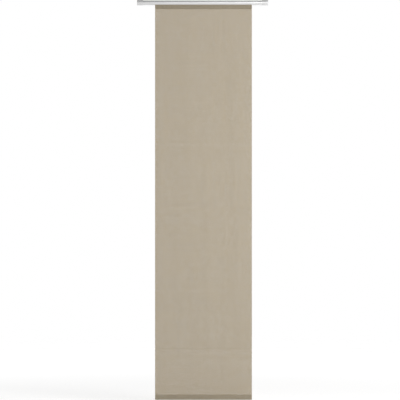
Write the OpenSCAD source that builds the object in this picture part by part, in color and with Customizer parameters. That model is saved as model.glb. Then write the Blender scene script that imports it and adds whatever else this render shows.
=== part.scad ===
// Panel curtain: a sheer cloth panel, hung by hook-and-loop tape from a carriage
// whose gliders run in an aluminium ceiling rail with moulded end caps.
// Frame: origin at the middle of the rail's ceiling face, X along the rail,
// front towards -Y, Z up. All sizes are in millimetres.

/* [Rail] */
// Length of the aluminium profile
rail_l = 800; // [660:10:3000]
// Depth of the profile at its flange
rail_d = 18; // [17:0.5:22]
// Height of the profile
rail_h = 30; // [27:0.5:40]
// Swell of the front and back of the lower body
rail_crown = 1.5; // [1:0.1:2.5]
// Wall thickness of the profile
rail_wall = 1.6; // [1.2:0.1:2]
// Thickness of the web against the ceiling
rail_web = 2; // [1.4:0.1:2.6]
// Height of the flange above the side grooves
flange_h = 6.5; // [5.5:0.1:8]
// Height of the side grooves
groove_h = 4.5; // [3:0.1:5.5]
// Depth of the side grooves
groove_depth = 2.5; // [1.5:0.1:2.8]
// Thickness of the lips that carry the gliders
lip_t = 1.8; // [1.4:0.1:2.4]
// Width of the running slot between the lips
slot_w = 8.6; // [7.6:0.1:9.6]
// Rounding of the lower edges
rail_edge_r = 1; // [0.4:0.1:1.4]
// Diameter of the ceiling screw holes
screw_hole_d = 4.5; // [3.5:0.1:6]
// Distance between the ceiling screw holes
screw_spacing = 600; // [200:10:640]

/* [End caps] */
// Thickness of the wall that closes the rail's end
cap_end_t = 6; // [3:0.5:10]
// Length of the skirt over the rail
cap_skirt_l = 32; // [15:1:45]
// Thickness of the skirt round the lower body
cap_wall = 1.2; // [0.8:0.1:2]
// Thickness of the skirt over the flange
cap_flange_wall = 0.8; // [0.5:0.1:1.2]
// Length of the plug inside the rail
cap_plug_l = 12; // [6:1:25]
// Height of the plug inside the rail
cap_plug_h = 9; // [5:0.5:12]
// Rounding of the cap's outer corners
cap_corner_r = 2; // [0.5:0.5:2.5]

/* [End stops] */
// Length of a stop block
stop_l = 20; // [14:1:30]
// Height of a stop block inside the rail
stop_h = 8; // [6:0.5:10]
// Height of the key under a stop block, in the running slot
stop_key_h = 0.9; // [0.5:0.1:1.3]
// Width of the slit that lets the block spread
stop_slit_w = 1.6; // [1:0.1:2.4]
// Shank diameter of the spreading screw
stop_screw_d = 3.5; // [3:0.1:4]
// Head diameter of the spreading screw
stop_screw_head_d = 6.2; // [5:0.1:6.6]
// Head height of the spreading screw
stop_screw_head_h = 2; // [1.2:0.1:3]
// Width and depth of the driver slot in the head
driver_slot = 0.9; // [0.6:0.1:1]

/* [Panel] */
// Width of the cloth panel
panel_w = 600; // [300:10:700]
// Height of the cloth panel, hemmed
panel_l = 2450; // [600:10:3000]
// Place of the panel's middle along the rail
panel_shift = 6; // [-25:1:25]
// Thickness of the cloth
cloth_t = 0.5; // [0.3:0.1:1]
// How far the strip turned back at the top runs below the tape
fold_margin = 0.5; // [0:0.5:10]
// How far the cloth's top edge covers the rail
panel_over_rail = 1.5; // [0.5:0.1:3]
// Height over which the hem pocket closes above the bar
hem_taper_h = 6.5; // [5:0.5:12]
// Height of the sewn strip above the hem pocket
hem_seam_h = 2.4; // [1:0.1:5]

/* [Carriage] */
// Height of the carriage profile
carriage_h = 24; // [23.5:0.5:36]
// Wall thickness of the carriage profile
carriage_wall = 1.4; // [1:0.1:2]
// Depth of the stiffening rib along the lower edge
carriage_rib_d = 4; // [2.5:0.5:8]
// How far the carriage ends lie inside the cloth's edges
carriage_inset = 3; // [1:0.5:12]
// Thickness of the flange on a carriage end
carriage_end_t = 2; // [1:0.5:4]
// Length of the tongue on a carriage end
carriage_tongue_l = 8; // [4:0.5:14]

/* [Gliders] */
// Number of gliders on the carriage
glider_count = 4; // [2:1:6]
// Distance from the carriage profile's end to the outer gliders
glider_inset = 25; // [20:1:60]
// Length of a glider's wings
wing_l = 24; // [16:1:30]
// Thickness of a glider's wings
wing_t = 2.4; // [1.6:0.1:4]
// Width of the skids under the wings
skid_w = 1.6; // [1:0.1:1.8]
// Height of the skids under the wings
skid_h = 0.6; // [0.3:0.1:1]
// Length of a glider's neck
neck_l = 10; // [6:0.5:14]
// Length of a glider's foot
foot_l = 14; // [11:0.5:18]
// Thickness of a glider's foot
foot_t = 3; // [2:0.1:4]
// Rounding of a glider's upright edges
glider_edge_r = 2; // [0.5:0.1:2.5]

/* [Hook and loop tapes] */
// Width of both tapes
tape_w = 20; // [15:1:21]
// Thickness of each tape
tape_t = 1.2; // [0.9:0.1:1.8]
// How far the tapes lie below the carriage's top
tape_drop = 2; // [1:0.5:2.5]
// How far the loop tape lies inside the cloth's edges
loop_inset = 1; // [0:0.5:5]
// How far the hook tape lies inside the carriage profile's ends
hook_inset = 1; // [0:0.5:5]

/* [Weight bar] */
// Height of the flat bar
bar_h = 22; // [15:0.5:30]
// Thickness of the flat bar
bar_t = 3; // [2:0.1:5]
// How far the bar's caps lie inside the cloth's edges
bar_inset = 4; // [1:0.5:15]
// Length of a bar cap
bar_cap_l = 12; // [6:0.5:20]
// Wall thickness of a bar cap
bar_cap_wall = 0.8; // [0.5:0.1:1.5]
// Thickness of a bar cap's end
bar_cap_end_t = 2; // [1:0.5:4]

/* [Fits] */
// Running clearance of the gliders on the lips
run_clear = 0.2; // [0.1:0.05:0.5]
// Clearance of a wing beside the channel wall
wing_clear = 1.1; // [0.6:0.1:2]
// Clearance of a neck in the running slot, each side
neck_clear = 0.5; // [0.3:0.05:0.8]
// Clearance of a neck in the carriage slot, each side
carriage_slot_clear = 0.3; // [0.1:0.05:0.5]
// Clearance of a foot in the carriage chamber
foot_clear = 0.3; // [0.1:0.05:0.5]
// Gap between the end caps and the carriage that passes under them
hang_gap = 0.6; // [0.3:0.1:3]
// Gap between the end caps and the cloth that passes in front of them
cloth_clear = 0.5; // [0.3:0.1:3]
// Clearance between a cap and the rail
cap_fit = 0.2; // [0.1:0.05:0.3]
// Clearance of plugs, tongues and stop blocks in their channels
plug_fit = 0.15; // [0.05:0.05:0.3]
// Clearance round a spreading screw
screw_fit = 0.1; // [0.05:0.05:0.2]
// Gap between the two layers of cloth at the top
fold_gap = 0.3; // [0.2:0.05:0.6]
// Clearance of a bar cap in the hem pocket
bar_fit = 0.3; // [0.1:0.05:0.6]
// Clearance of the bar in its caps
sleeve_fit = 0.1; // [0.05:0.05:0.2]
// Gap at both faces of a stop, to the cap's plug and to an outer glider
stop_gap = 0.3; // [0.2:0.05:0.8]

/* [Hidden] */
$fa = 3;
$fs = 0.3;
// Overrun of cutting shapes past the faces they open
cut = 1;
// Width that reaches past every section of the rail and caps
reach_w = 2 * (rail_d + rail_crown + cap_wall);

// Rail heights, down from the ceiling
body_top_z = -flange_h - groove_h;
shoulder_z = body_top_z - rail_wall;
lip_z = lip_t - rail_h;
// Crowned front and back of the rail's lower body, two arcs mirrored about Y = 0
body_h = rail_h + body_top_z;
body_mid_z = body_top_z - body_h / 2;
crown_r = (body_h * body_h / 4 + rail_crown * rail_crown) / (2 * rail_crown);
crown_y = crown_r - rail_d / 2 - rail_crown;
waist_w = rail_d - 2 * groove_depth;
// Half the depth of the crowned body, grown by an offset, at a height
function crown_half(z, grow) = sqrt(pow(crown_r + grow, 2) - pow(z - body_mid_z, 2)) - crown_y;

// Caps and stops
cap_grow = cap_fit + cap_wall;
cap_bottom_z = -rail_h - cap_grow;
cap_depth = 2 * (rail_d / 2 + rail_crown + cap_grow);
cap_plug_top_z = shoulder_z - plug_fit;
cap_inner_x = rail_l / 2 - cap_skirt_l;
cap_outer_x = rail_l / 2 + cap_end_t;
// Length of the shapes that round the cap's outer corners, clear of its inner end
cap_limit_l = cap_outer_x - cap_inner_x + 2 * cap_corner_r;
stop_x = rail_l / 2 - cap_plug_l - stop_gap - stop_l;
stop_key_z = lip_z - stop_key_h;

// Carriage and gliders
cloth_top_z = panel_over_rail - rail_h;
carriage_front = crown_half(cloth_top_z, cap_grow) + cloth_clear - 2 * tape_t;
carriage_d = 2 * carriage_front;
carriage_top_z = cap_bottom_z - hang_gap;
carriage_l = panel_w - 2 * (carriage_inset + carriage_end_t);
foot_top_z = carriage_top_z - carriage_wall;
chamber_h = foot_t + foot_clear;
chamber_w = carriage_d - 2 * carriage_wall;
carriage_box_h = chamber_h + 2 * carriage_wall;
skid_z = lip_z + run_clear;
wing_z = skid_z + skid_h;
wing_w = 2 * (crown_half(lip_z, -rail_wall) - wing_clear);
neck_w = slot_w - 2 * neck_clear;
carriage_slot_w = neck_w + 2 * carriage_slot_clear;
foot_w = chamber_w - 2 * foot_clear;
glider_span = carriage_l - 2 * glider_inset;
function glider_x(i) = panel_shift + glider_span * (i / (glider_count - 1) - 0.5);

// Tapes and cloth, from the carriage's front face forwards
hook_y = -carriage_front - tape_t;
loop_y = hook_y - tape_t;
cloth_y = loop_y - 2 * cloth_t - fold_gap;
tape_z = carriage_top_z - tape_drop;
top_fold_h = cloth_top_z - tape_z + tape_w + fold_margin;
cloth_bottom_z = cloth_top_z - panel_l;
fold_in_r = fold_gap / 2;
fold_out_r = fold_in_r + cloth_t;

// Hem pocket round the weight bar, in line with the bar's lower rounded edge
bar_cap_grow = sleeve_fit + bar_cap_wall;
pocket_r = bar_t / 2 + bar_cap_grow + bar_fit;
pocket_y = cloth_y + cloth_t + pocket_r;
pocket_z = cloth_bottom_z + cloth_t + pocket_r;
pocket_h = bar_h - bar_t + pocket_r;
hem_h = pocket_r + cloth_t + pocket_h + hem_taper_h + hem_seam_h;
bar_l = panel_w - 2 * (bar_inset + bar_cap_end_t);

// Extrudes a Y-Z section along X, from x0 to x1
module along_x(x0, x1) {
    translate([x0, 0, 0])
        rotate([90, 0, 90])
            linear_extrude(x1 - x0)
                children();
}

// Rectangle in a Y-Z section, centred on y = 0, from z0 up to z1
module band(w, z0, z1) {
    translate([-w / 2, z0])
        square([w, z1 - z0]);
}

// Rectangle with round corners, centred
module rounded_rect(w, h, r) {
    square([w - 2 * r, h], center = true);
    square([w, h - 2 * r], center = true);
    for (x = [-1, 1], y = [-1, 1])
        translate([x * (w / 2 - r), y * (h / 2 - r)])
            circle(r);
}

// Upright flat strip with full-round edges, its lower centre at the origin
module stadium(h, t, grow) {
    rise = h - t;
    circle(t / 2 + grow);
    translate([-t / 2 - grow, 0])
        square([t + 2 * grow, rise]);
    translate([0, rise])
        circle(t / 2 + grow);
}

// What lies outside the rounded lower front edge of the crowned body
module lower_edge_waste(grow) {
    r = rail_edge_r + grow;
    c_z = rail_edge_r - rail_h;
    c_y = -crown_half(c_z, -rail_edge_r);
    out_y = c_y - crown_y;
    out_z = c_z - body_mid_z;
    reach = (r + cut) / norm([out_y, out_z]);
    difference() {
        polygon([
            [c_y, c_z],
            [c_y + out_y * reach, c_z + out_z * reach],
            [c_y - r - cut, c_z - r - cut],
            [c_y, c_z - r - cut]
        ]);
        translate([c_y, c_z])
            circle(r);
    }
}

// Crowned lower body of the rail, grown by an offset
module crowned_body(grow) {
    difference() {
        intersection() {
            translate([crown_y, body_mid_z])
                circle(crown_r + grow);
            translate([-crown_y, body_mid_z])
                circle(crown_r + grow);
            band(reach_w, -rail_h - grow, body_top_z + grow);
        }
        if (rail_edge_r + grow > 0)
            for (side = [0, 1])
                mirror([side, 0])
                    lower_edge_waste(grow);
    }
}

// The glider channel in the lower body, less a clearance, from z0 up to z1
module channel(clearance, z0, z1) {
    intersection() {
        crowned_body(-rail_wall - clearance);
        band(reach_w, z0, z1);
    }
}

// Outside of the rail's section, grown by an offset
module rail_outline(grow) {
    band(rail_d + 2 * grow, -flange_h - grow, grow);
    band(waist_w + 2 * grow, body_top_z - cut, 0);
    crowned_body(grow);
}

module rail_section() {
    difference() {
        rail_outline(0);
        band(rail_d - 2 * rail_wall, rail_wall - flange_h, -rail_web);
        band(waist_w - 2 * rail_wall, shoulder_z - cut, -rail_web);
        channel(0, lip_z, shoulder_z);
        band(slot_w, -rail_h - cut, lip_z + cut);
    }
}

module rail_profile() {
    color("silver")
        difference() {
            along_x(-rail_l / 2, rail_l / 2)
                rail_section();
            for (x = [-1, 1])
                translate([x * screw_spacing / 2, 0, -rail_web - cut])
                    cylinder(d = screw_hole_d, h = rail_web + 2 * cut);
        }
}

// Outside of an end cap's section, flush with the ceiling face
module cap_outline() {
    band(rail_d + 2 * (cap_fit + cap_flange_wall), body_top_z - cut, 0);
    crowned_body(cap_grow);
}

// Round corners of the cap's outer end, seen from above
module cap_plan_limit() {
    translate([cap_outer_x - cap_limit_l / 2, 0, cap_bottom_z - cut])
        linear_extrude(2 * cut - cap_bottom_z)
            rounded_rect(cap_limit_l, cap_depth, cap_corner_r);
}

// Round lower corner of the cap's outer end, seen from the front
module cap_front_limit() {
    tall = 2 * cap_corner_r - cap_bottom_z;
    translate([cap_outer_x - cap_limit_l / 2, reach_w / 2, cap_bottom_z + tall / 2])
        rotate([90, 0, 0])
            linear_extrude(reach_w)
                rounded_rect(cap_limit_l, tall, cap_corner_r);
}

// Moulded end cap: an end wall, a skirt that clips into the side grooves, and a plug
module end_cap() {
    intersection() {
        union() {
            difference() {
                along_x(cap_inner_x, cap_outer_x)
                    cap_outline();
                along_x(cap_inner_x - cut, rail_l / 2) {
                    rail_outline(cap_fit);
                    band(rail_d + 2 * cap_fit, -flange_h, cut);
                }
            }
            along_x(rail_l / 2 - cap_plug_l, cap_outer_x - cap_end_t / 2)
                channel(plug_fit, cap_plug_top_z - cap_plug_h, cap_plug_top_z);
        }
        cap_plan_limit();
        cap_front_limit();
    }
}

module end_cap_right() {
    color("darkgray")
        end_cap();
}

module end_cap_left() {
    color("darkgray")
        mirror([1, 0, 0])
            end_cap();
}

// Stop block in the channel: a screw from below spreads it between the walls
module end_stop() {
    screw_x = stop_x + stop_l / 2;
    cut_h = stop_key_h + stop_h + 2 * cut;
    difference() {
        along_x(stop_x, stop_x + stop_l) {
            channel(plug_fit, lip_z, lip_z + stop_h);
            band(slot_w - 2 * plug_fit, stop_key_z, lip_z + cut);
        }
        translate([screw_x, -stop_slit_w / 2, stop_key_z - cut])
            cube([stop_l, stop_slit_w, cut_h]);
        translate([screw_x, 0, stop_key_z - cut])
            cylinder(d = stop_screw_d + 2 * screw_fit, h = cut_h);
        translate([screw_x, 0, stop_key_z - cut])
            cylinder(d = stop_screw_head_d + 2 * screw_fit, h = stop_screw_head_h + cut);
    }
}

module end_stop_right() {
    color("white")
        end_stop();
}

module end_stop_left() {
    color("white")
        mirror([1, 0, 0])
            end_stop();
}

// Spreading screw with a slotted head, driven from below
module stop_screw() {
    top_z = lip_z + stop_h;
    difference() {
        union() {
            translate([0, 0, stop_key_z])
                cylinder(d = stop_screw_head_d, h = stop_screw_head_h);
            translate([0, 0, stop_key_z])
                cylinder(d = stop_screw_d, h = top_z - stop_key_z);
        }
        translate([-stop_screw_head_d, -driver_slot / 2, stop_key_z - cut])
            cube([2 * stop_screw_head_d, driver_slot, driver_slot + cut]);
    }
}

module end_stop_screws() {
    color("gainsboro")
        for (side = [-1, 1])
            translate([side * (stop_x + stop_l / 2), 0, 0])
                stop_screw();
}

// Filled outside of the carriage's section, its top at z = 0
module carriage_outline() {
    band(carriage_d, -carriage_box_h, 0);
    translate([-carriage_d / 2, -carriage_h])
        square([carriage_wall, carriage_h]);
    translate([-carriage_d / 2, -carriage_h])
        square([carriage_rib_d, carriage_wall]);
}

// The chamber that holds the gliders' feet, less a clearance
module carriage_chamber(clearance) {
    band(
        chamber_w - 2 * clearance,
        clearance - carriage_wall - chamber_h,
        -carriage_wall - clearance
    );
}

module carriage_profile() {
    color("silver")
        translate([panel_shift, 0, carriage_top_z])
            along_x(-carriage_l / 2, carriage_l / 2)
                difference() {
                    carriage_outline();
                    carriage_chamber(0);
                    band(carriage_slot_w, -carriage_wall - cut, cut);
                }
}

// End of the carriage: a flange over the profile and a tongue in its chamber
module carriage_end() {
    along_x(carriage_l / 2, carriage_l / 2 + carriage_end_t)
        carriage_outline();
    along_x(carriage_l / 2 - carriage_tongue_l, carriage_l / 2 + carriage_end_t / 2)
        carriage_chamber(plug_fit);
}

module carriage_end_right() {
    color("whitesmoke")
        translate([panel_shift, 0, carriage_top_z])
            carriage_end();
}

module carriage_end_left() {
    color("whitesmoke")
        translate([panel_shift, 0, carriage_top_z])
            mirror([1, 0, 0])
                carriage_end();
}

// Upright-edged plate with round corners, from z0 up to z1
module glider_plate(l, w, z0, z1) {
    translate([0, 0, z0])
        linear_extrude(z1 - z0)
            rounded_rect(l, w, glider_edge_r);
}

// One-piece glider: wings with skids on the lips, a neck, and a foot in the carriage
module glider(i) {
    color("white")
        translate([glider_x(i), 0, 0]) {
            glider_plate(wing_l, wing_w, wing_z, wing_z + wing_t);
            for (side = [-1, 1])
                translate([0, side * (wing_w - skid_w) / 2, (skid_z + wing_z + skid_h) / 2])
                    cube([wing_l - 2 * glider_edge_r, skid_w, 2 * skid_h], center = true);
            glider_plate(neck_l, neck_w, foot_top_z - foot_t, wing_z + wing_t);
            glider_plate(foot_l, foot_w, foot_top_z - foot_t, foot_top_z);
        }
}

// Flat tape along X with its back face at y + tape_t
module tape(l, y) {
    translate([panel_shift - l / 2, y, tape_z - tape_w])
        cube([l, tape_t, tape_w]);
}

module hook_tape() {
    color("dimgray")
        tape(carriage_l - 2 * hook_inset, hook_y);
}

module loop_tape() {
    color("tan")
        tape(panel_w - 2 * loop_inset, loop_y);
}

// Strip turned to the back at the top, its fold at the origin's height
module top_fold() {
    translate([cloth_y + fold_out_r, cloth_top_z - fold_out_r])
        difference() {
            union() {
                circle(fold_out_r);
                band(2 * fold_out_r, fold_out_r - top_fold_h, 0);
            }
            circle(fold_in_r);
            band(2 * fold_in_r, -top_fold_h, 0);
        }
}

// Hem turned up behind the bar and sewn to the front layer
module hem_pocket() {
    back = pocket_r + cloth_t;
    translate([pocket_y, pocket_z])
        difference() {
            union() {
                circle(back);
                polygon([
                    [-back, 0],
                    [back, 0],
                    [back, pocket_h],
                    [2 * cloth_t - pocket_r, pocket_h + hem_taper_h],
                    [cloth_t - pocket_r, pocket_h + hem_taper_h + hem_seam_h],
                    [-back, pocket_h + hem_taper_h + hem_seam_h]
                ]);
            }
            circle(pocket_r);
            polygon([
                [-pocket_r, 0],
                [pocket_r, 0],
                [pocket_r, pocket_h],
                [-pocket_r, pocket_h + hem_taper_h]
            ]);
        }
}

// One cloth, folded at the top and bottom
module fabric_panel() {
    front_top_z = cloth_top_z - top_fold_h / 2;
    color("tan")
        translate([panel_shift, 0, 0])
            along_x(-panel_w / 2, panel_w / 2) {
                top_fold();
                translate([cloth_y, cloth_bottom_z + hem_h / 2])
                    square([cloth_t, front_top_z - cloth_bottom_z - hem_h / 2]);
                hem_pocket();
            }
}

// Section of the weight bar in the hem, grown by an offset
module bar_section(grow) {
    translate([pocket_y, pocket_z])
        stadium(bar_h, bar_t, grow);
}

module weight_bar() {
    color("lightgray")
        translate([panel_shift, 0, 0])
            along_x(-bar_l / 2, bar_l / 2)
                bar_section(0);
}

// Cap pushed over the bar's end
module bar_cap() {
    difference() {
        along_x(bar_l / 2 + bar_cap_end_t - bar_cap_l, bar_l / 2 + bar_cap_end_t)
            bar_section(bar_cap_grow);
        along_x(bar_l / 2 - bar_cap_l, bar_l / 2)
            bar_section(sleeve_fit);
    }
}

module bar_cap_right() {
    color("whitesmoke")
        translate([panel_shift, 0, 0])
            bar_cap();
}

module bar_cap_left() {
    color("whitesmoke")
        translate([panel_shift, 0, 0])
            mirror([1, 0, 0])
                bar_cap();
}

rail_profile();
end_cap_left();
end_cap_right();
end_stop_left();
end_stop_right();
end_stop_screws();
carriage_profile();
carriage_end_left();
carriage_end_right();
for (i = [1:glider_count])
    glider(i - 1);
hook_tape();
loop_tape();
fabric_panel();
weight_bar();
bar_cap_left();
bar_cap_right();
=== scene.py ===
import math

import bpy
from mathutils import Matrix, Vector


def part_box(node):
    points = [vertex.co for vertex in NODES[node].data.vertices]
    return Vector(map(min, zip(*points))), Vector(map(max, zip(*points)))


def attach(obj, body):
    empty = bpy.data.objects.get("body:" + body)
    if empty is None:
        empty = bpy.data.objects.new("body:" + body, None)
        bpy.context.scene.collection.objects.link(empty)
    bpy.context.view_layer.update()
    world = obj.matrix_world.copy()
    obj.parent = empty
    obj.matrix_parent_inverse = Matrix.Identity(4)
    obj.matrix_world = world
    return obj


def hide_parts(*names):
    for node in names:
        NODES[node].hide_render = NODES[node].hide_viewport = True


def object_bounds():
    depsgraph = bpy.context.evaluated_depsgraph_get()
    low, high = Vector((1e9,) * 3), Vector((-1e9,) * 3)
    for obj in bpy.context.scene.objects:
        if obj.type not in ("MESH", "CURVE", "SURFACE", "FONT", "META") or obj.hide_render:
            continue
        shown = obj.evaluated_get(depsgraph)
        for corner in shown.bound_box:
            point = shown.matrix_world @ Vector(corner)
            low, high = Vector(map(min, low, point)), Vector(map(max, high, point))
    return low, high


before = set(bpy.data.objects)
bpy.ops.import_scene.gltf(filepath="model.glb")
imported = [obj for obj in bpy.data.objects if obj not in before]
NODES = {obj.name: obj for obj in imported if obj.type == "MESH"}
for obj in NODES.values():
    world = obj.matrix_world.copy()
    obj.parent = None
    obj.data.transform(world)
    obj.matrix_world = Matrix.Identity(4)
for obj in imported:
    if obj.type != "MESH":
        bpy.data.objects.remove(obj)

# Looks of the panel curtain: the woven cloth with its sewing, and the finish of every
# piece of the rail, the caps, the running gear and the weight bar. All sizes are in metres.
CAD_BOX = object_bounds()
MM = 0.001
TURN = 2 * math.pi
WHITE = (1, 1, 1, 1)

# Cloth: its make-up and the steps of its mesh
CLOTH_THICK = 0.5 * MM
TURNED_BACK = 26 * MM
HEM_CLOSING = 6.5 * MM
HEM_STRIP = 2.4 * MM
COLUMN_STEP = 4 * MM
ROW_STEP = 9 * MM
FINE_STEP = 1.5 * MM
ARC_STEPS = 10
CLOTH_UV = "cloth_uv"

# How far the hanging cloth sways out of its plane, in waves that are given by their length,
# their lean, their start and their share
SWAY = 1.3 * MM
SWAY_FADE = 0.35
SWAY_WAVES = (
    (0.31, 0.11, 0.0, 0.55),
    (0.173, -0.17, 0.31, 0.3),
    (0.094, 0.23, 0.77, 0.15),
)
EDGE_CURL = 1.2 * MM
EDGE_CURL_W = 35 * MM

# Small gathers beside the hem's seam, whose pitch drifts a little along it
PUCKER = 0.18 * MM
PUCKER_PITCH = 13 * MM
PUCKER_FADE = 9 * MM
PUCKER_DRIFT = 2.1
PUCKER_DRIFT_RATE = 31

# Sewing: rows of stitches through the hem and along both edges of the loop tape
STITCH_PITCH = 3.4 * MM
STITCH_LENGTH = 2.8 * MM
STITCH_SINK = 0.12 * MM
STITCH_SLANT = math.radians(5)
STITCH_SEED = 7
STITCH_STEPS = 4
STITCH_SHOULDER = 0.75
STITCH_ARCH = 1.6
THREAD_R = 0.2 * MM
THREAD_SIDES = 5
SEAM_INSET = 3 * MM
TAPE_SEAM_INSET = 2 * MM
SEAM_STEP = 20 * MM

# Loop pile on the two ends of the loop tape that the hook tape leaves bare
PILE_PITCH = 0.55 * MM
PILE_JITTER = 0.22 * MM
PILE_MARGIN = 0.6 * MM
PILE_HEIGHT = 0.85 * MM
PILE_WIDTH = 0.8 * MM
PILE_R = 0.08 * MM
PILE_LEAN = math.radians(24)
PILE_SEED = 5
PILE_SIDES = 3
PILE_STEPS = 5
PILE_FOOT = 0.25
PILE_SWELL = 0.8
PILE_RISE = 1.33

# Heights on the rail and its caps where the finish and the painted shade change
GROOVE_TOP = -6.5 * MM
GROOVE_LOW = -11 * MM
CAP_SHOULDER = -9.6 * MM
EDGE_BLUR = 0.3 * MM

# Studio: the floor, its glow to the camera and how both change with distance, and the room
FLOOR_DROP = 35 * MM
FLOOR_SIZE = 16
FLOOR_FADE = (2.0, 7.0)
FLOOR_TONE = (0.8, 0.8, 0.8, 1)
GLOW_NEAR = 0.44
GLOW_FAR = 0.66
GLOW_REACH = (0.8, 4.0)
AMBIENT = 0.45
CEILING = 0.55
CEILING_RISE = (0.12, 0.8)

# Camera: what it shows across, and the point that it looks at
LENS_MM = 200
SENSOR_MM = 36
CLIP_END = 100
VIEW_SPAN = 2.4788
VIEW_X = -0.0155
VIEW_Z = -1.23945

# Soft boxes, each with the spread of its beam in degrees. The key box aims a little above the middle.
KEY_LIFT = 0.1
LAMPS = {
    "key_box": {
        "place": (2.9, -3.0, -1.15),
        "aim": (0, 0, VIEW_Z + KEY_LIFT),
        "watts": 35.5,
        "wide": 1.4,
        "tall": 1.5,
        "spread": 110,
    },
    "top_box": {
        "place": (0, 0, 3.5),
        "aim": (0, 0, 0),
        "watts": 9,
        "wide": 1.4,
        "tall": 1.4,
        "spread": 70,
    },
    "rail_box": {
        "place": (0.8, -2.0, 1.15),
        "aim": (0.15, 0, -0.02),
        "watts": 3.4,
        "wide": 1.0,
        "tall": 0.7,
        "spread": 120,
    },
}


class Field:
    """One output of a node. Arithmetic on it adds Math nodes to the same tree."""

    def __init__(self, nodes, socket):
        self.nodes = nodes
        self.socket = socket

    def other(self, name):
        """Another output of the same node."""
        return Field(self.nodes, self.socket.node.outputs[name])

    def maths(self, operation, first, second=0.0):
        return self.nodes.add("ShaderNodeMath", {"operation": operation}, {0: first, 1: second})

    def sine(self):
        return self.maths("SINE", self)

    def floor(self):
        return self.maths("FLOOR", self)

    def root(self):
        return self.maths("SQRT", self)

    def highest(self, value):
        return self.maths("MAXIMUM", self, value)

    def lowest(self, value):
        return self.maths("MINIMUM", self, value)

    def __add__(self, value):
        return self.maths("ADD", self, value)

    def __sub__(self, value):
        return self.maths("SUBTRACT", self, value)

    def __rsub__(self, value):
        return self.maths("SUBTRACT", value, self)

    def __mul__(self, value):
        return self.maths("MULTIPLY", self, value)

    def __truediv__(self, value):
        return self.maths("DIVIDE", self, value)

    def __neg__(self):
        return self.maths("MULTIPLY", self, -1.0)

    def __abs__(self):
        return self.maths("ABSOLUTE", self)

    __radd__ = __add__
    __rmul__ = __mul__


class Nodes:
    """A node tree that grows one node at a time."""

    def __init__(self, tree):
        self.tree = tree
        tree.nodes.clear()

    def add(self, kind, settings=None, sockets=None, output=0):
        """Adds a node: its settings first, then the values or links of its sockets."""
        node = self.tree.nodes.new(kind)
        for name, value in (settings or {}).items():
            setattr(node, name, value)
        by_identifier = {socket.identifier: socket for socket in node.inputs}
        for key, value in (sockets or {}).items():
            target = by_identifier[key] if key in by_identifier else node.inputs[key]
            if isinstance(value, Field):
                self.tree.links.new(value.socket, target)
            else:
                target.default_value = value
        return Field(self, node.outputs[output] if len(node.outputs) else None)

    def mix(self, factor, a, b):
        """Colour a where factor is 0, and b where it is 1."""
        sockets = {"Factor_Float": factor, "A_Color": a, "B_Color": b}
        return self.add("ShaderNodeMix", {"data_type": "RGBA"}, sockets, 2)

    def ramp(self, value, low, high):
        """0 below low and 1 above high, smooth between."""
        sockets = {"Value": value, "From Min": low, "From Max": high}
        return self.add("ShaderNodeMapRange", {"interpolation_type": "SMOOTHSTEP"}, sockets)

    def past(self, value, edge, blur):
        """0 before an edge and 1 past it, blurred to both sides."""
        return self.ramp(value, edge - blur, edge + blur)

    def vector(self, x=0.0, y=0.0, z=0.0):
        return self.add("ShaderNodeCombineXYZ", {}, {"X": x, "Y": y, "Z": z})

    def split(self, vector):
        x = self.add("ShaderNodeSeparateXYZ", {}, {"Vector": vector})
        return x, x.other("Y"), x.other("Z")

    def noise(self, vector, detail):
        """Soft noise around a half, with so many finer layers."""
        sockets = {"Vector": vector, "Scale": 1.0, "Detail": detail}
        return self.add("ShaderNodeTexNoise", {}, sockets)

    def marks(self, place, stretch, detail):
        """Noise with as many lumps to the metre along X, Y and Z as stretch says."""
        mapped = self.add("ShaderNodeMapping", {}, {"Vector": place, "Scale": stretch})
        return self.noise(mapped, detail)

    def place(self):
        """Object coordinates, which are the frame's own metres."""
        return self.add("ShaderNodeTexCoord", output="Object")

    def bump(self, height, strength, depth):
        sockets = {"Height": height, "Strength": strength, "Distance": depth}
        return self.add("ShaderNodeBump", {}, sockets)


def new_material(name):
    material = bpy.data.materials.new(name)
    material.use_nodes = True
    return material, Nodes(material.node_tree)


def principled(nodes, sockets):
    return nodes.add("ShaderNodeBsdfPrincipled", {}, sockets)


def close_material(nodes, surface):
    nodes.add("ShaderNodeOutputMaterial", {}, {"Surface": surface})


def grey(level):
    """A colour without a hue."""
    return (level, level, level)


def shade(colour, factor):
    """A colour made darker or lighter."""
    return tuple(min(1.0, c * factor) for c in colour) + (1,)


# Marks on the finishes: lumps to the metre along X, Y and Z, and finer layers of them
DIE_LINES = ((1.5, 1900, 1900), 3)
DIE_BANDS = ((0.8, 240, 240), 1)
METAL_CLOUDS = ((22, 22, 22), 3)
RUBBED_SPOTS = ((9, 120, 120), 4)
MOULD_GRAIN = ((2600, 2600, 2600), 1)
MOULD_FLOW = ((90, 160, 160), 2)
LACQUER_FLAKES = ((5200, 5200, 5200), 0)
TURNING_MARKS = ((700, 700, 3500), 2)
TARNISH = ((260, 260, 260), 3)
HOOK_FUZZ = ((900, 900, 900), 3)
LOOP_FUZZ = ((1500, 900, 1500), 4)
LOOP_TUFTS = ((260, 260, 320), 2)
THREAD_FUZZ = ((3000, 3000, 3000), 2)
CLOTH_STREAKS_UP = ((150, 2.2, 1), 2)
CLOTH_STREAKS_ACROSS = ((2.2, 130, 1), 2)
CLOTH_CLOUDS = ((9, 7, 1), 3)

# The mean of all marks, which is also the middle between two tones, and the depth of fine relief
MARKS_MEAN = 0.5
FINE_DEPTH = 0.05 * MM

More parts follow.
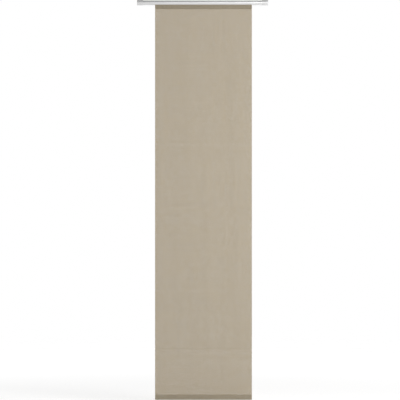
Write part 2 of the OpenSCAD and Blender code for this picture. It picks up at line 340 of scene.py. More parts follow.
# Satin aluminium: how its marks show in tone, gloss and relief
LINES_IN_TONE = 0.5
BANDS_IN_TONE = 0.35
CLOUDS_IN_TONE = 0.15
METAL_DARK = 0.86
METAL_LIGHT = 1.13
FLANGE_DARK = 0.88
FLANGE_LIGHT = 1.11
METAL_UNEVEN = 0.3
RAISED_DULL = 0.3
RUBBED_RANGE = (0.56, 0.72)
RUBBED_GLOSS = 0.07
LINES_IN_RELIEF = 0.7
BANDS_IN_RELIEF = 0.3
DIE_BUMP = 0.16


def extruded_aluminium(name, tone, rough, flange_shade=None, groove_shade=None):
    """Satin anodised aluminium with the die lines of the extrusion along X and a few rubbed spots.
    The rail's side grooves are painted dark as painted shade, and its flange is painted a darker tone
    that is partly painted shade where it lacks the highlight."""
    material, n = new_material(name)
    place = n.place()
    lines = n.marks(place, *DIE_LINES)
    bands = n.marks(place, *DIE_BANDS)
    clouds = n.marks(place, *METAL_CLOUDS)
    rubbed = n.ramp(n.marks(place, *RUBBED_SPOTS), *RUBBED_RANGE)
    worn = LINES_IN_TONE * lines + BANDS_IN_TONE * bands + CLOUDS_IN_TONE * clouds
    colour = n.mix(worn, shade(tone, METAL_DARK), shade(tone, METAL_LIGHT))
    dull = rough + METAL_UNEVEN * (worn - MARKS_MEAN) - RUBBED_GLOSS * rubbed
    if groove_shade:
        _, _, height = n.split(place)
        above = n.past(height, GROOVE_LOW, EDGE_BLUR)
        in_groove = 1 - n.past(height, GROOVE_TOP, EDGE_BLUR)
        # Painted shade: a dark tone in the side grooves, and a darker tone on the flange that partly
        # stands in for shade.
        darker = n.mix(in_groove, shade(flange_shade, FLANGE_DARK), shade(groove_shade, METAL_DARK))
        lighter = n.mix(in_groove, shade(flange_shade, FLANGE_LIGHT), shade(groove_shade, METAL_LIGHT))
        colour = n.mix(above, colour, n.mix(worn, darker, lighter))
        dull = dull + RAISED_DULL * above
    close_material(n, principled(n, {
        "Base Color": colour,
        "Metallic": 1.0,
        "Roughness": dull,
        "Normal": n.bump(LINES_IN_RELIEF * lines + BANDS_IN_RELIEF * bands, DIE_BUMP, FINE_DEPTH),
    }))
    return material


# Moulded plastic, and the lacquer on the caps
PLASTIC_TONES = (0.95, 1.05)
PLASTIC_UNEVEN = 0.12
GRAIN_UNEVEN = 0.06
PLASTIC_BUMP = 0.12
SHADED_BARE_TONES = (0.94, 1.06)
LACQUER_TONES = (0.92, 1.08)
FLAKES_IN_TONE = 0.6
FLOW_IN_TONE = 0.4
LACQUER_METAL = 0.9
CAP_ROUGH = 0.42
CAP_UNEVEN = 0.1
CAP_BUMP = 0.1


def moulded_plastic(name, tone, rough):
    """Fine-grained moulded plastic with faint flow marks."""
    material, n = new_material(name)
    place = n.place()
    grain = n.marks(place, *MOULD_GRAIN)
    flow = n.marks(place, *MOULD_FLOW)
    uneven = PLASTIC_UNEVEN * (flow - MARKS_MEAN) + GRAIN_UNEVEN * (grain - MARKS_MEAN)
    close_material(n, principled(n, {
        "Base Color": n.mix(flow, *(shade(tone, factor) for factor in PLASTIC_TONES)),
        "Roughness": rough + uneven,
        "Normal": n.bump(grain, PLASTIC_BUMP, FINE_DEPTH),
    }))
    return material


def lacquered_cap(name, shaded_bare, silver):
    """End cap: grey plastic beside the flange, painted dark grey as partly painted shade of its recessed
    neck, and silver lacquer on the crowned part below.
    """
    material, n = new_material(name)
    place = n.place()
    grain = n.marks(place, *MOULD_GRAIN)
    flow = n.marks(place, *MOULD_FLOW)
    flakes = n.marks(place, *LACQUER_FLAKES)
    _, _, height = n.split(place)
    lacquer = 1 - n.past(height, CAP_SHOULDER, EDGE_BLUR)
    # The dark grey above the shoulder is partly painted shade over the cap's recessed neck.
    plastic = n.mix(flow, *(shade(shaded_bare, factor) for factor in SHADED_BARE_TONES))
    glint = FLAKES_IN_TONE * flakes + FLOW_IN_TONE * flow
    metal = n.mix(glint, *(shade(silver, factor) for factor in LACQUER_TONES))
    uneven = CAP_UNEVEN * (flow - MARKS_MEAN) + GRAIN_UNEVEN * (grain - MARKS_MEAN)
    close_material(n, principled(n, {
        "Base Color": n.mix(lacquer, plastic, metal),
        "Metallic": LACQUER_METAL * lacquer,
        "Roughness": CAP_ROUGH + uneven,
        "Normal": n.bump(grain, CAP_BUMP, FINE_DEPTH),
    }))
    return material


# Plated steel of the spreading screws
TARNISH_TONE = (0.558, 0.522, 0.432, 1)
TARNISH_RANGE = (0.45, 0.75)
STEEL_ROUGH = 0.3
STEEL_UNEVEN = 0.2
STEEL_BUMP = 0.1


def slotted_steel(name, tone):
    """Zinc-plated screw steel with turning marks and a faint yellow tarnish."""
    material, n = new_material(name)
    place = n.place()
    turned = n.marks(place, *TURNING_MARKS)
    tarnish = n.ramp(n.marks(place, *TARNISH), *TARNISH_RANGE)
    close_material(n, principled(n, {
        "Base Color": n.mix(tarnish, shade(tone, 1), TARNISH_TONE),
        "Metallic": 1.0,
        "Roughness": STEEL_ROUGH + STEEL_UNEVEN * turned,
        "Normal": n.bump(turned, STEEL_BUMP, FINE_DEPTH),
    }))
    return material


# Hook and loop tapes
HOOK_ROW = 1.7 * MM
HOOK_STEP = 1.3 * MM
HOOK_TUFT = (0.1, 0.7)
HOOK_TONES = (0.7, 1.25)
HOOK_ROUGH = 0.5
HOOK_UNEVEN = 0.3
HOOK_FUZZ_RELIEF = 0.3
HOOK_BUMP = 0.6
HOOK_DEPTH = 0.4 * MM
LOOP_TONES = (0.72, 1.3)
LOOP_ROUGH = 0.8
LOOP_UNEVEN = 0.15
LOOP_BUMP = 0.7
LOOP_DEPTH = 0.3 * MM
LOOP_SHEEN = 0.25
LOOP_SHEEN_ROUGH = 0.5
COARSE_IN_TONE = 0.6
FINE_IN_TONE = 0.4


def hook_strip(name, tone):
    """Woven nylon strip set with rows of stiff hooks."""
    material, n = new_material(name)
    place = n.place()
    x, _, z = n.split(place)
    rows = (z * (TURN / HOOK_ROW)).sine()
    hooks = (x * (TURN / HOOK_STEP)).sine()
    tufts = n.ramp(rows * hooks, *HOOK_TUFT)
    fuzz = n.marks(place, *HOOK_FUZZ)
    worn = COARSE_IN_TONE * tufts + FINE_IN_TONE * fuzz
    close_material(n, principled(n, {
        "Base Color": n.mix(worn, *(shade(tone, factor) for factor in HOOK_TONES)),
        "Roughness": HOOK_ROUGH + HOOK_UNEVEN * fuzz,
        "Normal": n.bump(tufts + HOOK_FUZZ_RELIEF * fuzz, HOOK_BUMP, HOOK_DEPTH),
    }))
    return material


def loop_strip(name, tone):
    """Woven nylon strip with a brushed loop pile."""
    material, n = new_material(name)
    place = n.place()
    fuzz = n.marks(place, *LOOP_FUZZ)
    tufts = n.marks(place, *LOOP_TUFTS)
    brushed = COARSE_IN_TONE * fuzz + FINE_IN_TONE * tufts
    close_material(n, principled(n, {
        "Base Color": n.mix(brushed, *(shade(tone, factor) for factor in LOOP_TONES)),
        "Roughness": LOOP_ROUGH + LOOP_UNEVEN * fuzz,
        "Normal": n.bump(fuzz + tufts, LOOP_BUMP, LOOP_DEPTH),
        "Sheen Weight": LOOP_SHEEN,
        "Sheen Roughness": LOOP_SHEEN_ROUGH,
    }))
    return material


# Sewing thread
THREAD_PLY = 0.45 * MM
THREAD_SLANT = 0.8
THREAD_TONES = (0.72, 1.2)
PLIES_IN_TONE = 0.25
FUZZ_IN_TONE = 0.3
THREAD_ROUGH = 0.62
THREAD_UNEVEN = 0.15
THREAD_BUMP = 0.4
THREAD_DEPTH = 0.06 * MM
THREAD_SHEEN = 0.15


def sewing_thread(name, tone):
    """Twisted thread: slanting plies along X."""
    material, n = new_material(name)
    place = n.place()
    x, _, z = n.split(place)
    plies = ((x + THREAD_SLANT * z) * (TURN / THREAD_PLY)).sine()
    fuzz = n.marks(place, *THREAD_FUZZ)
    twisted = MARKS_MEAN + PLIES_IN_TONE * plies + FUZZ_IN_TONE * (fuzz - MARKS_MEAN)
    close_material(n, principled(n, {
        "Base Color": n.mix(twisted, *(shade(tone, factor) for factor in THREAD_TONES)),
        "Roughness": THREAD_ROUGH + THREAD_UNEVEN * fuzz,
        "Normal": n.bump(plies, THREAD_BUMP, THREAD_DEPTH),
        "Sheen Weight": THREAD_SHEEN,
    }))
    return material


# Yarns of the cloth: their pitch, how they wander and thicken, and their twist
WARP_PITCH = 0.82 * MM
WEFT_PITCH = 0.95 * MM
WARP_SEED = 3.0
WEFT_SEED = 11.0
WANDER_ALONG = 45.0
WANDER_ACROSS = 90.0
WANDER = 0.9
WANDER_DETAIL = 1.0
SLUB_ALONG = 28.0
SLUB_STEP = 0.73
SLUB_SEED = 5
SLUB_DETAIL = 2.0
YARN_MIDDLE = 0.5
YARN_COVER = 0.34
COVER_OWN = 0.1
COVER_SLUB = 0.3
YARN_BLUR = 0.07
YARN_FALL = 0.8
PLY_PITCH = 0.6 * MM
OWN_IN_YARN = 0.5
SLUB_IN_YARN = 0.5
TWIST_IN_YARN = 0.16


def yarns(n, across, along, pitch, seed):
    """Yarns side by side at a pitch: where they cover the cloth, how round they stand, their tone
    and their count across."""
    wander = n.vector(along * WANDER_ALONG, across * WANDER_ACROSS, seed)
    drift = n.noise(wander, WANDER_DETAIL)
    phase = across / pitch + WANDER * (drift - MARKS_MEAN)
    number = phase.floor()
    own = n.add("ShaderNodeTexWhiteNoise", {"noise_dimensions": "1D"}, {"W": number + seed})
    run = n.vector(along * SLUB_ALONG, number * SLUB_STEP, seed + SLUB_SEED)
    slub = n.noise(run, SLUB_DETAIL)
    half = YARN_COVER + COVER_OWN * (own - MARKS_MEAN) + COVER_SLUB * (slub - MARKS_MEAN)
    off = abs(phase - number - YARN_MIDDLE)
    cover = 1 - n.past(off - half, 0, YARN_BLUR)
    share = off / half
    bulge = 1 - YARN_FALL * share * share
    twist = ((along / PLY_PITCH + phase) * TURN).sine()
    tone = OWN_IN_YARN * own + SLUB_IN_YARN * slub + TWIST_IN_YARN * twist
    return cover, bulge, tone, phase


# Weave: relief where yarns cross, tone with painted shade at the yarns' edges and a painted highlight on
# their crowns, and how much light passes by and through the yarns
YARN_RISE = 1.6
OVER_RISE = 0.6
TOP_BLUR = 0.1
SEALED_EDGE = (0.5 * MM, 0.9 * MM)
SEALED_DARKER = 0.3
STREAKS_UP_SHARE = 0.4
STREAKS_ACROSS_SHARE = 0.35
CLOUDS_SHARE = 0.25
YARN_IN_TONE = 0.7
BROAD_IN_TONE = 1.5
YARN_EDGE_SHADE = 0.9
BULGE_MEAN = 0.73
YARN_DARK = (0.355, 0.308, 0.226, 1)
YARN_LIGHT = (0.473, 0.414, 0.312, 1)
CLOTH_ROUGH = 0.82
CLOTH_UNEVEN = 0.12
WEAVE_BUMP = 0.6
WEAVE_DEPTH = 0.12 * MM
CLOTH_SPECULAR = 0.25
CLOTH_SHEEN = 0.08
CLOTH_SHEEN_ROUGH = 0.6
YARN_THROUGH = (0.6, 0.33, 0.05, 1)
THROUGH_SHARE = 0.14
GAP_ALPHA = 0.16
YARN_ALPHA = 0.97
BROAD_IN_ALPHA = 0.25


def panel_cloth(name, width):
    """Sheer plain-woven cloth with uneven yarns, which lets the light behind it through. Its cut
    sides are sealed by heat."""
    material, n = new_material(name)
    uv = n.add("ShaderNodeUVMap", {"uv_map": CLOTH_UV})
    across, along, _ = n.split(uv)
    warp, warp_bulge, warp_tone, warp_phase = yarns(n, across, along, WARP_PITCH, WARP_SEED)
    weft, weft_bulge, weft_tone, weft_phase = yarns(n, along, across, WEFT_PITCH, WEFT_SEED)
    over = (warp_phase * math.pi).sine() * (weft_phase * math.pi).sine()
    warp_rise = warp * (YARN_RISE + warp_bulge + OVER_RISE * over)
    weft_rise = weft * (YARN_RISE + weft_bulge - OVER_RISE * over)
    warp_on_top = n.past(warp_rise - weft_rise, 0, TOP_BLUR)
    own_tone = weft_tone + warp_on_top * (warp_tone - weft_tone)
    bulge = weft_bulge + warp_on_top * (warp_bulge - weft_bulge)
    side = 1 - n.ramp(across.lowest(width - across), *SEALED_EDGE)
    cover = 1 - (1 - warp) * (1 - weft) * (1 - side)

    streaks_up = n.marks(uv, *CLOTH_STREAKS_UP)
    streaks_across = n.marks(uv, *CLOTH_STREAKS_ACROSS)
    clouds = n.marks(uv, *CLOTH_CLOUDS)
    broad = STREAKS_UP_SHARE * streaks_up + STREAKS_ACROSS_SHARE * streaks_across + CLOUDS_SHARE * clouds
    broad_off = broad - MARKS_MEAN
    tone_off = YARN_IN_TONE * (own_tone - MARKS_MEAN) + BROAD_IN_TONE * broad_off
    # Painted shade and highlight: each yarn is darker at its edges and lighter on its crown, following
    # its bulge.
    tone_off = tone_off + YARN_EDGE_SHADE * (bulge - BULGE_MEAN) - SEALED_DARKER * side
    front = principled(n, {
        "Base Color": n.mix(MARKS_MEAN + tone_off, YARN_DARK, YARN_LIGHT),
        "Roughness": CLOTH_ROUGH + CLOTH_UNEVEN * tone_off,
        "Normal": n.bump(warp_rise.highest(weft_rise), WEAVE_BUMP, WEAVE_DEPTH),
        "Specular IOR Level": CLOTH_SPECULAR,
        "Sheen Weight": CLOTH_SHEEN,
        "Sheen Roughness": CLOTH_SHEEN_ROUGH,
    })
    through = n.add("ShaderNodeBsdfTranslucent", {}, {"Color": YARN_THROUGH})
    solid = n.add("ShaderNodeMixShader", {}, {0: THROUGH_SHARE, 1: front, 2: through})
    gaps = n.add("ShaderNodeBsdfTransparent", {}, {"Color": WHITE})
    alpha = GAP_ALPHA + (YARN_ALPHA - GAP_ALPHA) * cover + BROAD_IN_ALPHA * broad_off
    close_material(n, n.add("ShaderNodeMixShader", {}, {0: alpha, 1: gaps, 2: solid}))
    return material


def finish_nodes():
    """Gives every CAD node that stays in view the finish of its real material."""
    finishes = {
        "rail_profile": extruded_aluminium(
            "rail_aluminium", tone=grey(0.66), rough=0.38, flange_shade=grey(0.58), groove_shade=grey(0.33)
        ),
        "carriage_profile": extruded_aluminium("carriage_aluminium", tone=(0.68, 0.68, 0.67), rough=0.4),
        "weight_bar": extruded_aluminium("bar_aluminium", tone=grey(0.66), rough=0.42),
        "end_stop_screws": slotted_steel("screw_steel", tone=grey(0.6)),
        "hook_tape": hook_strip("hook_nylon", tone=(0.3, 0.27, 0.22)),
        "loop_tape": loop_strip("loop_nylon", tone=(0.55, 0.5, 0.41)),
    }
    repeated = {
        "end_cap_": lacquered_cap("cap_grey", shaded_bare=grey(0.34), silver=grey(0.63)),
        "end_stop_": moulded_plastic("stop_plastic", tone=(0.72, 0.72, 0.7), rough=0.45),
        "carriage_end_": moulded_plastic("carriage_plastic", tone=(0.7, 0.7, 0.68), rough=0.45),
        "glider_": moulded_plastic("glider_plastic", tone=(0.78, 0.78, 0.76), rough=0.3),
        "bar_cap_": moulded_plastic("bar_cap_plastic", tone=(0.7, 0.7, 0.68), rough=0.45),
    }
    for start, material in repeated.items():
        names = [name for name in NODES if name.startswith(start) and name not in finishes]
        finishes.update({name: material for name in names})
    for name, material in finishes.items():
        NODES[name].material_slots[0].material = material


def show(name, data):
    """A new object of a mesh, a light or a camera, linked to the scene."""
    thing = bpy.data.objects.new(name, data)
    bpy.context.scene.collection.objects.link(thing)
    return thing


def smooth_step(value):
    t = min(1.0, max(0.0, value))
    return t * t * (3 - 2 * t)


def steps(start, end, step):
    """Points from start up to but not including end, evenly spaced at about step."""
    count = max(1, round((end - start).length / step))
    return [start.lerp(end, i / count) for i in range(count)]


def arc(centre, radius, first, last):
    """Points (y, z) along an arc between two angles in degrees, without the last one."""
    angles = [math.radians(first + (last - first) * i / ARC_STEPS) for i in range(ARC_STEPS)]
    return [centre + radius * Vector((math.cos(a), math.sin(a))) for a in angles]


def closing_curve(start, end):
    """The hem's back layer drawing in from the bar to the seam, without the last point."""
    inward = end.x - start.x
    up = end.y - start.y
    parts = [i / ARC_STEPS for i in range(ARC_STEPS)]
    return [Vector((start.x + inward * smooth_step(t), start.y + up * t)) for t in parts]


def cloth_line():
    """Middle of the cloth as (y, z) points: up the turned-back strip, over the top fold,
    down the front, round the weight bar and up to the hem's edge. Then the height of that
    edge, and where the front layer lies."""
    low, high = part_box("fabric_panel")
    tape_low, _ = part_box("loop_tape")
    cap_low, cap_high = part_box("bar_cap_left")
    front = low.y + CLOTH_THICK / 2
    strip = tape_low.y - CLOTH_THICK / 2
    fold_r = (strip - front) / 2
    fold = Vector((front + fold_r, high.z - CLOTH_THICK / 2 - fold_r))
    bar_y = (cap_low.y + cap_high.y) / 2
    hem_r = bar_y - front
    hem = Vector((bar_y, low.z + CLOTH_THICK / 2 + hem_r))
    back_top = Vector((bar_y + hem_r, cap_high.z))
    seam_low = Vector((front + CLOTH_THICK, back_top.y + HEM_CLOSING))
    seam_high = seam_low + Vector((0, HEM_STRIP))
    strip_low = Vector((strip, high.z - TURNED_BACK))
    front_fold = Vector((front, fold.y))
    front_tape = Vector((front, strip_low.y))
    front_seam = Vector((front, seam_high.y + 2 * PUCKER_FADE))
    front_hem = Vector((front, hem.y))
    line = steps(strip_low, Vector((strip, fold.y)), FINE_STEP)
    line += arc(fold, fold_r, 0, 180)
    line += steps(front_fold, front_tape, FINE_STEP)
    line += steps(front_tape, front_seam, ROW_STEP)
    line += steps(front_seam, front_hem, FINE_STEP)
    line += arc(hem, hem_r, 180, 360)
    line += steps(Vector((back_top.x, hem.y)), back_top, FINE_STEP)
    line += closing_curve(back_top, seam_low)
    line += steps(seam_low, seam_high, FINE_STEP)
    return line + [seam_high], seam_high.y, front


def sway_at(x, z, top, bottom, half, middle):
    """How far the hanging cloth stands out of its plane, nothing at the tape and at the hem."""
    hang = smooth_step((top - z) / SWAY_FADE) * smooth_step((z - bottom) / SWAY_FADE)
    waves = sum(
        share * math.sin(TURN * (x / length + lean * z + start))
        for length, lean, start, share in SWAY_WAVES
    )
    curl = max(0.0, abs(x - middle) - half + EDGE_CURL_W) / EDGE_CURL_W
    return hang * (SWAY * waves + EDGE_CURL * curl * curl)


def pucker_at(x, z, seam):
    """Small gathers in the front layer beside the hem's seam."""
    near = math.exp(-abs(z - seam) / PUCKER_FADE)
    drift = PUCKER_DRIFT * math.sin(x * PUCKER_DRIFT_RATE)
    return PUCKER * near * math.sin(TURN * x / PUCKER_PITCH + drift)


def make_cloth():
    """The cloth as one open sheet with a map in metres, across it and along it."""
    line, seam, front = cloth_line()
    low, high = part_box("fabric_panel")
    width = high.x - low.x
    middle = (low.x + high.x) / 2
    top = high.z - TURNED_BACK
    columns = round(width / COLUMN_STEP)
    wide = columns + 1
    across = [low.x + width * i / columns for i in range(wide)]
    along = [0.0]
    for a, b in zip(line, line[1:]):
        along.append(along[-1] + (b - a).length)
    points = []
    for y, z in line:
        on_front = abs(y - front) < CLOTH_THICK / 4
        for x in across:
            out = sway_at(x, z, top, seam, width / 2, middle) if on_front else 0.0
            gather = pucker_at(x, z, seam) if on_front and z > seam else 0.0
            points.append((x, y + out + gather, z))
    corners = [r * wide + c for r in range(len(line) - 1) for c in range(columns)]
    faces = [(i + wide, i + wide + 1, i + 1, i) for i in corners]
    mesh = bpy.data.meshes.new("cloth_panel")
    mesh.from_pydata(points, [], faces)
    layer = mesh.uv_layers.new(name=CLOTH_UV)
    for loop in mesh.loops:
        row, column = divmod(loop.vertex_index, wide)
        layer.data[loop.index].uv = (across[column] - low.x, along[row])
    mesh.polygons.foreach_set("use_smooth", [True] * len(mesh.polygons))
    return show("cloth_panel", mesh), (width, along[-1])


def seam_lines():
    """Lines that the stitches follow, each point with the way out of the cloth there."""
    low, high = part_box("fabric_panel")
    tape_low, tape_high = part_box("loop_tape")
    _, seam, front = cloth_line()
    face = front - CLOTH_THICK / 2
    hem_z = seam - HEM_STRIP / 2
    to_front = Vector((0, -1, 0))
    rows = [
        (tape_high.z - TAPE_SEAM_INSET, face, to_front),
        (tape_low.z + TAPE_SEAM_INSET, face, to_front),
        (hem_z, face, to_front),
        (hem_z, face + 2 * CLOTH_THICK, -to_front),
    ]
    sewn = high.x - low.x - 2 * SEAM_INSET
    count = round(sewn / SEAM_STEP)
    points, edges, outward = [], [], []
    for z, y, out in rows:
        first = len(points)
        points += [(low.x + SEAM_INSET + sewn * i / count, y, z) for i in range(count + 1)]
        outward += [out] * (count + 1)
        edges += [(first + i, first + i + 1) for i in range(count)]
    mesh = bpy.data.meshes.new("seam_lines")
    mesh.from_pydata(points, edges, [])
    attribute = mesh.attributes.new("outward", "FLOAT_VECTOR", "POINT")
    attribute.data.foreach_set("vector", [c for v in outward for c in v])
    return mesh


def pile_spots():
    """Points on the bare ends of the loop tape's back, set out in rows."""
    low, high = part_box("loop_tape")
    hook_low, hook_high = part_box("hook_tape")
    rows = round((high.z - low.z - 2 * PILE_MARGIN) / PILE_PITCH)
    points = []
    for first, last in ((low.x, hook_low.x), (hook_high.x, high.x)):
        columns = round((last - first) / PILE_PITCH)
        for row in range(rows + 1):
            z = low.z + PILE_MARGIN + row * PILE_PITCH
            points += [(first + (column + 0.5) * PILE_PITCH, high.y, z) for column in range(columns)]
    mesh = bpy.data.meshes.new("pile_spots")
    mesh.from_pydata(points, [], [])
    return mesh


class Pattern:
    """A Geometry Nodes tree with named inputs, which sets out copies of one shape."""

    # Inputs that aren't plain numbers
    KINDS = {"Seed": "NodeSocketInt", "Yarn": "NodeSocketMaterial"}

    def __init__(self, name, labels):
        self.tree = bpy.data.node_groups.new(name, "GeometryNodeTree")
        sockets = self.tree.interface
        sockets.new_socket("Carrier", in_out="INPUT", socket_type="NodeSocketGeometry")
        self.keys = {}
        for label in labels:
            kind = self.KINDS.get(label, "NodeSocketFloat")
            self.keys[label] = sockets.new_socket(label, in_out="INPUT", socket_type=kind).identifier
        sockets.new_socket("Copies", in_out="OUTPUT", socket_type="NodeSocketGeometry")
        self.nodes = Nodes(self.tree)
        self.given = self.nodes.add("NodeGroupInput")

    def thread(self, path, radius, sides, capped):
        """A round thread along a curve of four control points."""
        n = self.nodes
        curve = n.add("GeometryNodeCurvePrimitiveBezierSegment", {"mode": "POSITION"}, path)
        ring = n.add("GeometryNodeCurvePrimitiveCircle", {}, {"Resolution": sides, "Radius": radius})
        sockets = {"Curve": curve, "Profile Curve": ring, "Fill Caps": capped}
        return n.add("GeometryNodeCurveToMesh", {}, sockets)

    def close(self, spots, shape, turned):
        """Sets the shape on the spots and ends the tree in plain, smooth, finished copies."""
        n = self.nodes
        sockets = {"Points": spots, "Instance": shape, "Rotation": turned}
        copies = n.add("GeometryNodeInstanceOnPoints", {}, sockets)
        real = n.add("GeometryNodeRealizeInstances", {}, {"Geometry": copies})
        soft = n.add("GeometryNodeSetShadeSmooth", {}, {"Geometry": real})
        sockets = {"Geometry": soft, "Material": self.given.other("Yarn")}
        n.add("NodeGroupOutput", {}, {0: n.add("GeometryNodeSetMaterial", {}, sockets)})

    def made_on(self, carrier, name, values):
        """The result on a carrier mesh as a plain mesh piece. The carrier goes."""
        source = show(carrier.name, carrier)
        modifier = source.modifiers.new(name, "NODES")
        modifier.node_group = self.tree
        for label, value in values.items():
            modifier[self.keys[label]] = value
        seen = source.evaluated_get(bpy.context.evaluated_depsgraph_get())
        mesh = bpy.data.meshes.new_from_object(seen)
        mesh.name = name
        bpy.data.objects.remove(source)
        return show(name, mesh)


def make_stitches(thread):
    """A raised thread between two needle holes at each pitch along the seam lines."""
    values = {
        "Pitch": STITCH_PITCH,
        "Stitch length": STITCH_LENGTH,
        "Thread radius": THREAD_R,
        "Sink": STITCH_SINK,
        "Slant": STITCH_SLANT,
        "Seed": STITCH_SEED,
        "Yarn": thread,
    }
    pattern = Pattern("sewn_seam", values)
    n = pattern.nodes
    given = pattern.given
    half = given.other("Stitch length") * 0.5
    shoulder = STITCH_SHOULDER * half
    radius = given.other("Thread radius")
    arch = STITCH_ARCH * radius
    down = -given.other("Sink")
    stitch = pattern.thread({
        "Resolution": STITCH_STEPS,
        "Start": n.vector(x=-half, z=down),
        "Start Handle": n.vector(x=-shoulder, z=arch),
        "End Handle": n.vector(x=shoulder, z=arch),
        "End": n.vector(x=half, z=down),
    }, radius, THREAD_SIDES, capped=True)
    curves = n.add("GeometryNodeMeshToCurve", {}, {"Mesh": given})
    spacing = {"Curve": curves, "Length": given.other("Pitch")}
    spots = n.add("GeometryNodeResampleCurve", {"mode": "LENGTH"}, spacing)
    outward = n.add("GeometryNodeInputNamedAttribute", {"data_type": "FLOAT_VECTOR"}, {"Name": "outward"})
    stand = n.add("FunctionNodeAlignRotationToVector", {"axis": "Z"}, {"Vector": outward})
    tangent = n.add("GeometryNodeInputTangent")
    along = {"Rotation": stand, "Vector": tangent}
    lie = n.add("FunctionNodeAlignRotationToVector", {"axis": "X", "pivot_axis": "Z"}, along)
    slant = given.other("Slant")
    limits = {"Min_001": -slant, "Max_001": slant, "Seed": given.other("Seed")}
    turn = n.add("FunctionNodeRandomValue", {"data_type": "FLOAT"}, limits, 1)
    twist = n.add("FunctionNodeEulerToRotation", {}, {0: n.vector(z=turn)})
    both = {"Rotation": lie, "Rotate By": twist}
    turned = n.add("FunctionNodeRotateRotation", {"rotation_space": "LOCAL"}, both)
    pattern.close(spots, stitch, turned)
    return pattern.made_on(seam_lines(), "panel_stitches", values)


def make_pile(yarn):
    """A small leaning loop of yarn on every spot of the tape, each turned its own way."""
    values = {
        "Height": PILE_HEIGHT,
        "Width": PILE_WIDTH,
        "Yarn radius": PILE_R,
        "Jitter": PILE_JITTER,
        "Lean": PILE_LEAN,
        "Seed": PILE_SEED,
        "Yarn": yarn,
    }
    pattern = Pattern("loop_pile", values)
    n = pattern.nodes
    given = pattern.given
    foot = PILE_FOOT * given.other("Width")
    swell = PILE_SWELL * given.other("Width")
    top = PILE_RISE * given.other("Height")
    radius = given.other("Yarn radius")
    sunk = -radius
    loop = pattern.thread({
        "Resolution": PILE_STEPS,
        "Start": n.vector(x=-foot, y=sunk),
        "Start Handle": n.vector(x=-swell, y=top),
        "End Handle": n.vector(x=swell, y=top),
        "End": n.vector(x=foot, y=sunk),
    }, radius, PILE_SIDES, capped=False)
    seed = given.other("Seed")
    reach = given.other("Jitter")
    back = -reach
    limits = {"Min": n.vector(x=back, z=back), "Max": n.vector(x=reach, z=reach), "Seed": seed}
    moved = n.add("FunctionNodeRandomValue", {"data_type": "FLOAT_VECTOR"}, limits)
    spots = n.add("GeometryNodeSetPosition", {}, {"Geometry": given, "Offset": moved})
    lean = given.other("Lean")
    turned = n.add("FunctionNodeRandomValue", {"data_type": "FLOAT_VECTOR"}, {
        "Min": n.vector(-lean, -math.pi, -lean),
        "Max": n.vector(lean, math.pi, lean),
        "Seed": seed + 1,
    })
    pattern.close(spots, loop, turned)
    return pattern.made_on(pile_spots(), "loop_pile", values)


def seen_rays(nodes):
    """1 for the rays that look at the background: the camera's, and those off metal or through cloth."""
    path = nodes.add("ShaderNodeLightPath", output="Is Camera Ray")
    return path.highest(path.other("Is Glossy Ray")).highest(path.other("Is Transmission Ray"))


def make_world():
    """White to look at, a plain soft light on the object, and a duller ceiling mirrored in metal."""
    world = bpy.data.worlds.new("studio")
    world.use_nodes = True
    n = Nodes(world.node_tree)
    sky = n.add("ShaderNodeTexCoord", output="Generated")
    _, _, rise = n.split(sky)
    mirrored = n.add("ShaderNodeLightPath", output="Is Glossy Ray")
    seen = 1 - (1 - CEILING) * mirrored * n.ramp(rise, *CEILING_RISE)
    strength = AMBIENT + (seen - AMBIENT) * seen_rays(n)
    backdrop = n.add("ShaderNodeBackground", {}, {"Color": WHITE, "Strength": strength})
    n.add("ShaderNodeOutputWorld", {}, {"Surface": backdrop})
    bpy.context.scene.world = world


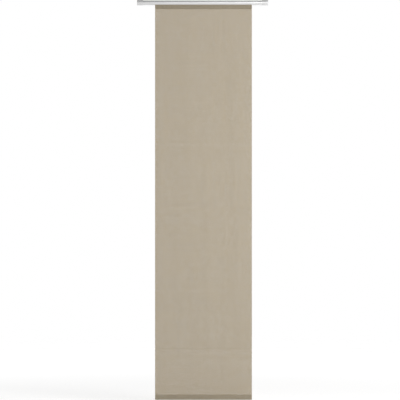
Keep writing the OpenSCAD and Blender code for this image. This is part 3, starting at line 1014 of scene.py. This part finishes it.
def make_floor():
    """Pale floor that stays white where no shadow falls on it. It fades into the backdrop, and from
    below it can be looked through."""
    z = CAD_BOX[0].z - FLOOR_DROP
    half = FLOOR_SIZE / 2
    mesh = bpy.data.meshes.new("floor")
    corners = [(-half, -half, z), (half, -half, z), (half, half, z), (-half, half, z)]
    mesh.from_pydata(corners, [], [(0, 1, 2, 3)])
    material, n = new_material("floor_white")
    x, y, _ = n.split(n.place())
    away = (x * x + y * y).root()
    plain = n.add("ShaderNodeBsdfDiffuse", {}, {"Color": FLOOR_TONE})
    level = GLOW_NEAR + (GLOW_FAR - GLOW_NEAR) * n.ramp(away, *GLOW_REACH)
    glow = n.add("ShaderNodeEmission", {}, {"Color": WHITE, "Strength": level * seen_rays(n)})
    lit = n.add("ShaderNodeAddShader", {}, {0: plain, 1: glow})
    below = n.add("ShaderNodeNewGeometry", output="Backfacing")
    gone = n.ramp(away, *FLOOR_FADE).highest(below)
    none = n.add("ShaderNodeBsdfTransparent", {}, {"Color": WHITE})
    close_material(n, n.add("ShaderNodeMixShader", {}, {0: gone, 1: lit, 2: none}))
    mesh.materials.append(material)
    show("floor", mesh)


def make_lamp(name, place, aim, watts, wide, tall, spread):
    """A soft box with a grid that narrows its beam, seen only by its light."""
    light = bpy.data.lights.new(name, "AREA")
    light.shape = "RECTANGLE"
    light.size = wide
    light.size_y = tall
    light.energy = watts
    light.spread = math.radians(spread)
    lamp = show(name, light)
    lamp.location = place
    lamp.rotation_mode = "QUATERNION"
    lamp.rotation_quaternion = (Vector(aim) - Vector(place)).to_track_quat("-Z", "Y")
    lamp.visible_camera = False


def make_camera():
    """Straight on, at the height of the panel's middle, through a long lens."""
    data = bpy.data.cameras.new("camera")
    data.lens = LENS_MM
    data.sensor_width = SENSOR_MM
    data.clip_end = CLIP_END
    camera = show("camera", data)
    distance = VIEW_SPAN * LENS_MM / SENSOR_MM
    camera.location = (VIEW_X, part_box("fabric_panel")[0].y - distance, VIEW_Z)
    camera.rotation_euler = (math.pi / 2, 0, 0)
    bpy.context.scene.camera = camera


bpy.context.scene.view_settings.view_transform = "Standard"
make_camera()
make_world()
make_floor()
for lamp_name, lamp_values in LAMPS.items():
    make_lamp(lamp_name, **lamp_values)

finish_nodes()
cloth, flat_size = make_cloth()
cloth.data.materials.append(panel_cloth("panel_cloth", flat_size[0]))
stitches = make_stitches(sewing_thread("sewing_thread", tone=(0.3, 0.26, 0.185)))
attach(cloth, "panel")
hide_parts("fabric_panel")
pile = make_pile(NODES["loop_tape"].material_slots[0].material)
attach(pile, "panel")
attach(stitches, "panel")
